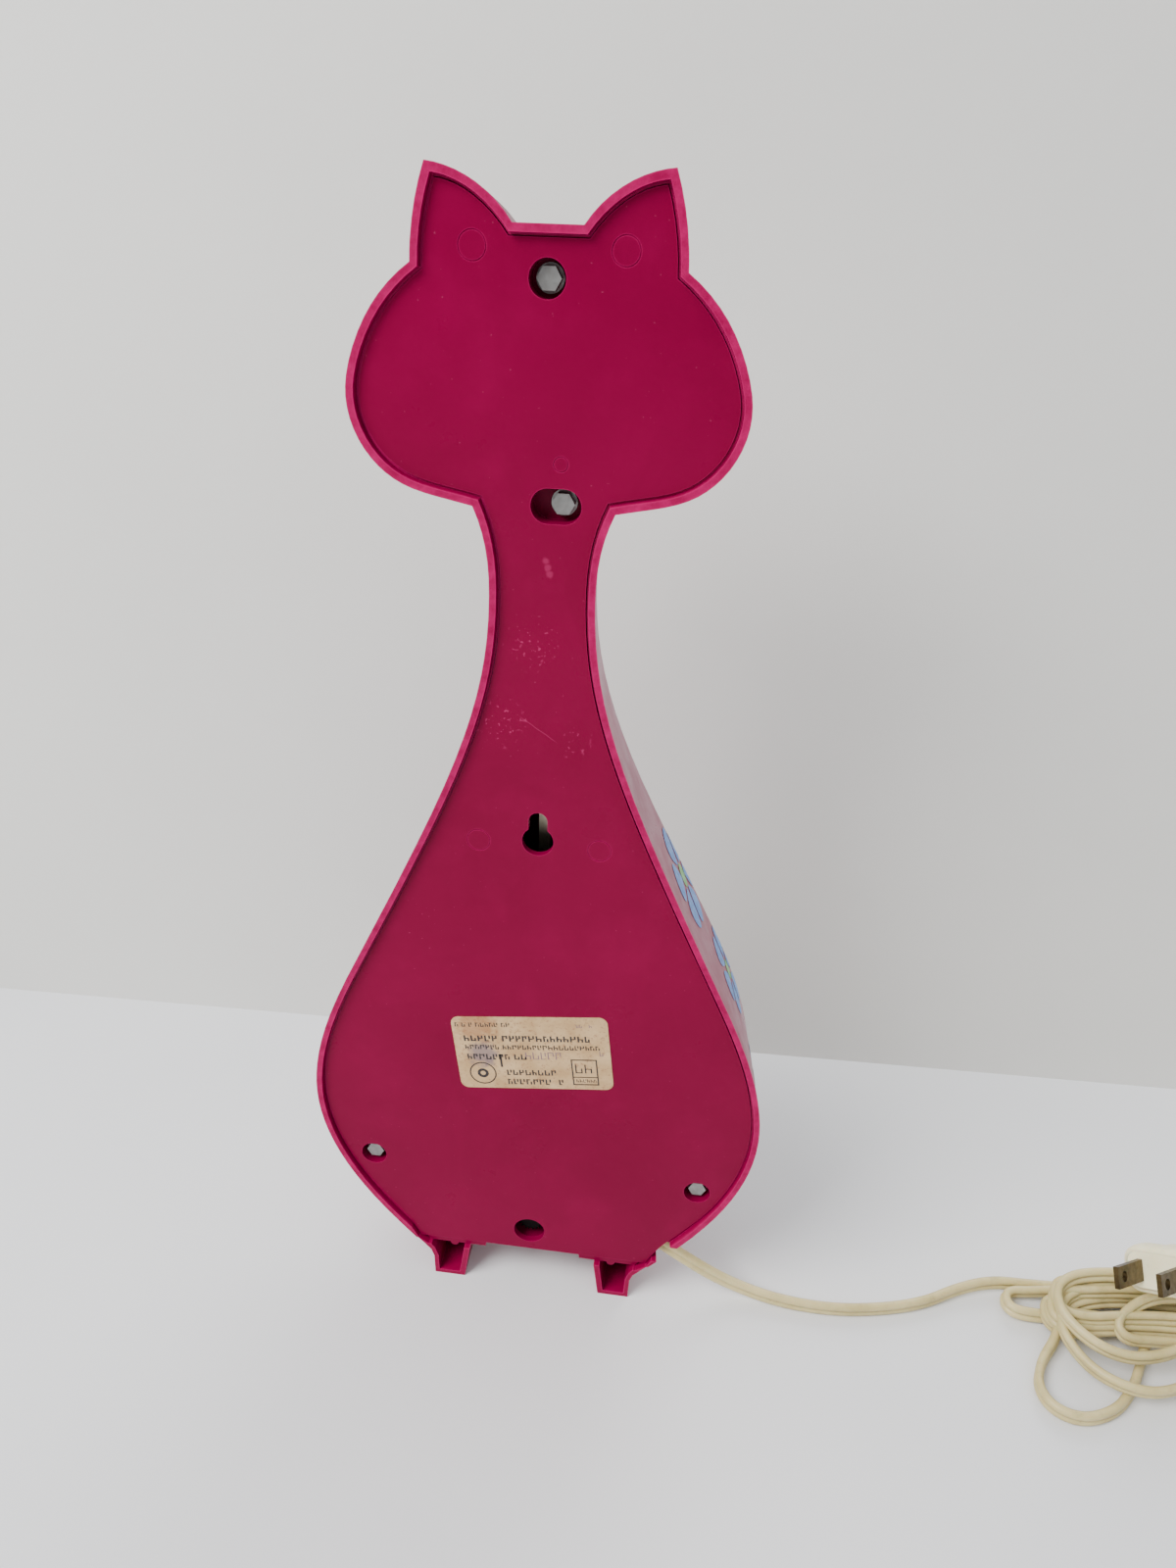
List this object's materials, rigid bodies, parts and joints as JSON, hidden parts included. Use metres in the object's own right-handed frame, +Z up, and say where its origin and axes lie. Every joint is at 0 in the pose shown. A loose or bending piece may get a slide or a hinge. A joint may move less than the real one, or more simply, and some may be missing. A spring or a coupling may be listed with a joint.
{
  "type": "cat clock",
  "caption": "Upright cat-shaped electric clock with long neck and pear body, round dial, swinging hinged tail, moving eyes, keyhole back and flat supply cord.",
  "frame": {"origin": "on the resting surface under the feet, at the centre of the clock's box without the supply cord", "axes": "+Z up, +Y out of the rear cover, dial side towards -Y"},
  "size_m": [0.3167, 0.1424, 0.3251],
  "materials": {
    "pink_case": "satin magenta-pink moulded polystyrene",
    "pink_cover": "satin magenta-pink moulded polystyrene",
    "pink_tail": "satin magenta-pink moulded polystyrene",
    "grommet_pink": "moulded plastic cord clamp",
    "zinc_screw": "zinc plated, slightly dulled",
    "label_paper": "aged speckled paper label",
    "dial_face": "printed off-white dial",
    "bezel_trim": "moulded ring",
    "clear_lens": "clear styrene lens",
    "hand_black": "black enamelled aluminium",
    "hand_red": "red enamelled aluminium",
    "brass_gear": "brass",
    "steel_gear": "steel",
    "steel_shaft": "steel",
    "plate_steel": "zinc plated sheet steel",
    "rotor_metal": "steel rotor",
    "lamination": "stacked silicon steel",
    "knob_black": "black moulded",
    "bobbin_nylon": "natural nylon",
    "coil_tape": "taped winding",
    "magnet": "ferrite",
    "eye_white": "white moulded",
    "eye_black": "black",
    "cord_ivory": "ivory vinyl",
    "plug_cream": "cream moulded",
    "blade_brass": "tarnished brass"
  },
  "bodies": {
    "case": {"front_case": "pink_case", "rear_cover": "pink_cover", "upper_cover_screws": "zinc_screw", "lower_cover_screws": "zinc_screw", "movement_screws": "zinc_screw", "rating_label": "label_paper", "dial": "dial_face", "bezel": "bezel_trim", "lens": "clear_lens", "front_plate": "plate_steel", "back_plate": "plate_steel", "plate_pillars": "steel_shaft", "stator": "lamination", "stator_screws": "zinc_screw", "stator_spacers": "steel_shaft", "coil_bobbin": "bobbin_nylon", "coil_winding": "coil_tape", "hanger_stud": "steel_shaft", "eye_pivot_pin": "steel_shaft", "cord_run": "cord_ivory", "cord_grommet": "grommet_pink", "cord_hank": "cord_ivory", "plug_body": "plug_cream", "plug_blades": "blade_brass"},
    "hour": {"hour_hand": "hand_black", "hour_wheel": "brass_gear"},
    "minute": {"minute_hand": "hand_black", "cannon_pinion": "brass_gear"},
    "minute_wheel": {"minute_wheel": "brass_gear"},
    "set_idler": {"set_idler": "brass_gear"},
    "set_knob": {"set_shaft": "steel_shaft", "set_knob": "knob_black"},
    "second": {"second_hand": "hand_red", "second_arbor": "steel_gear"},
    "middle_wheel": {"middle_wheel": "steel_gear"},
    "first_wheel": {"first_wheel": "steel_gear"},
    "rotor": {"rotor": "rotor_metal"},
    "hanger": {"tail_hanger": "plate_steel", "tail_pin": "steel_shaft", "swing_magnet": "magnet"},
    "eyes": {"eye_lever": "plate_steel", "eye_bar": "eye_white", "pupils": "eye_black"},
    "tail": {"tail": "pink_tail"}
  },
  "joints": [
    {"name": "minute_turn", "type": "hinge", "parent": "case", "child": "minute", "pos_m": [0, 0.03, 0.072], "axis": [0, 1, 0], "continuous": true},
    {"name": "hour_turn", "type": "hinge", "parent": "case", "child": "hour", "pos_m": [0, 0.03, 0.072], "axis": [0, 1, 0], "continuous": true},
    {"name": "minute_wheel_turn", "type": "hinge", "parent": "case", "child": "minute_wheel", "pos_m": [0, 0.03, 0.082], "axis": [0, 1, 0], "continuous": true},
    {"name": "set_idler_turn", "type": "hinge", "parent": "case", "child": "set_idler", "pos_m": [0.00052, 0.03, 0.04651], "axis": [0, 1, 0], "continuous": true},
    {"name": "set_knob_turn", "type": "hinge", "parent": "case", "child": "set_knob", "pos_m": [0.00099, 0.03, 0.02351], "axis": [0, 1, 0], "continuous": true},
    {"name": "rotor_spin", "type": "hinge", "parent": "case", "child": "rotor", "pos_m": [0.02976, 0.03, 0.07506], "axis": [0, 1, 0], "continuous": true},
    {"name": "first_wheel_turn", "type": "hinge", "parent": "case", "child": "first_wheel", "pos_m": [0.02296, 0.03, 0.08683], "axis": [0, 1, 0], "continuous": true},
    {"name": "middle_wheel_turn", "type": "hinge", "parent": "case", "child": "middle_wheel", "pos_m": [0.01018, 0.03, 0.08218], "axis": [0, 1, 0], "continuous": true},
    {"name": "second_turn", "type": "hinge", "parent": "case", "child": "second", "pos_m": [0, 0.03, 0.072], "axis": [0, 1, 0], "continuous": true},
    {"name": "tail_swing", "type": "hinge", "parent": "case", "child": "hanger", "pos_m": [0, 0.0436, 0.05], "axis": [0, 1, 0], "range_deg": [-12, 12]},
    {"name": "eye_sway", "type": "hinge", "parent": "case", "child": "eyes", "pos_m": [0, 0.0468, 0.215], "axis": [0, 1, 0], "range_deg": [-4, 4]},
    {"name": "tail_fold", "type": "hinge", "parent": "hanger", "child": "tail", "pos_m": [0, 0.0436, 0.007], "axis": [1, 0, 0], "range_deg": [0, 90]}
  ],
  "couplings": [
    {"joint": "hour_turn", "follows": "minute_turn", "ratio": 0.083333},
    {"joint": "minute_wheel_turn", "follows": "minute_turn", "ratio": -0.33333},
    {"joint": "set_idler_turn", "follows": "minute_turn", "ratio": -0.41667},
    {"joint": "set_knob_turn", "follows": "minute_turn", "ratio": 1.5},
    {"joint": "first_wheel_turn", "follows": "rotor_spin", "ratio": -0.13333},
    {"joint": "middle_wheel_turn", "follows": "rotor_spin", "ratio": 0.017778},
    {"joint": "second_turn", "follows": "rotor_spin", "ratio": -0.0022222},
    {"joint": "eye_sway", "follows": "tail_swing", "ratio": -0.32}
  ]
}
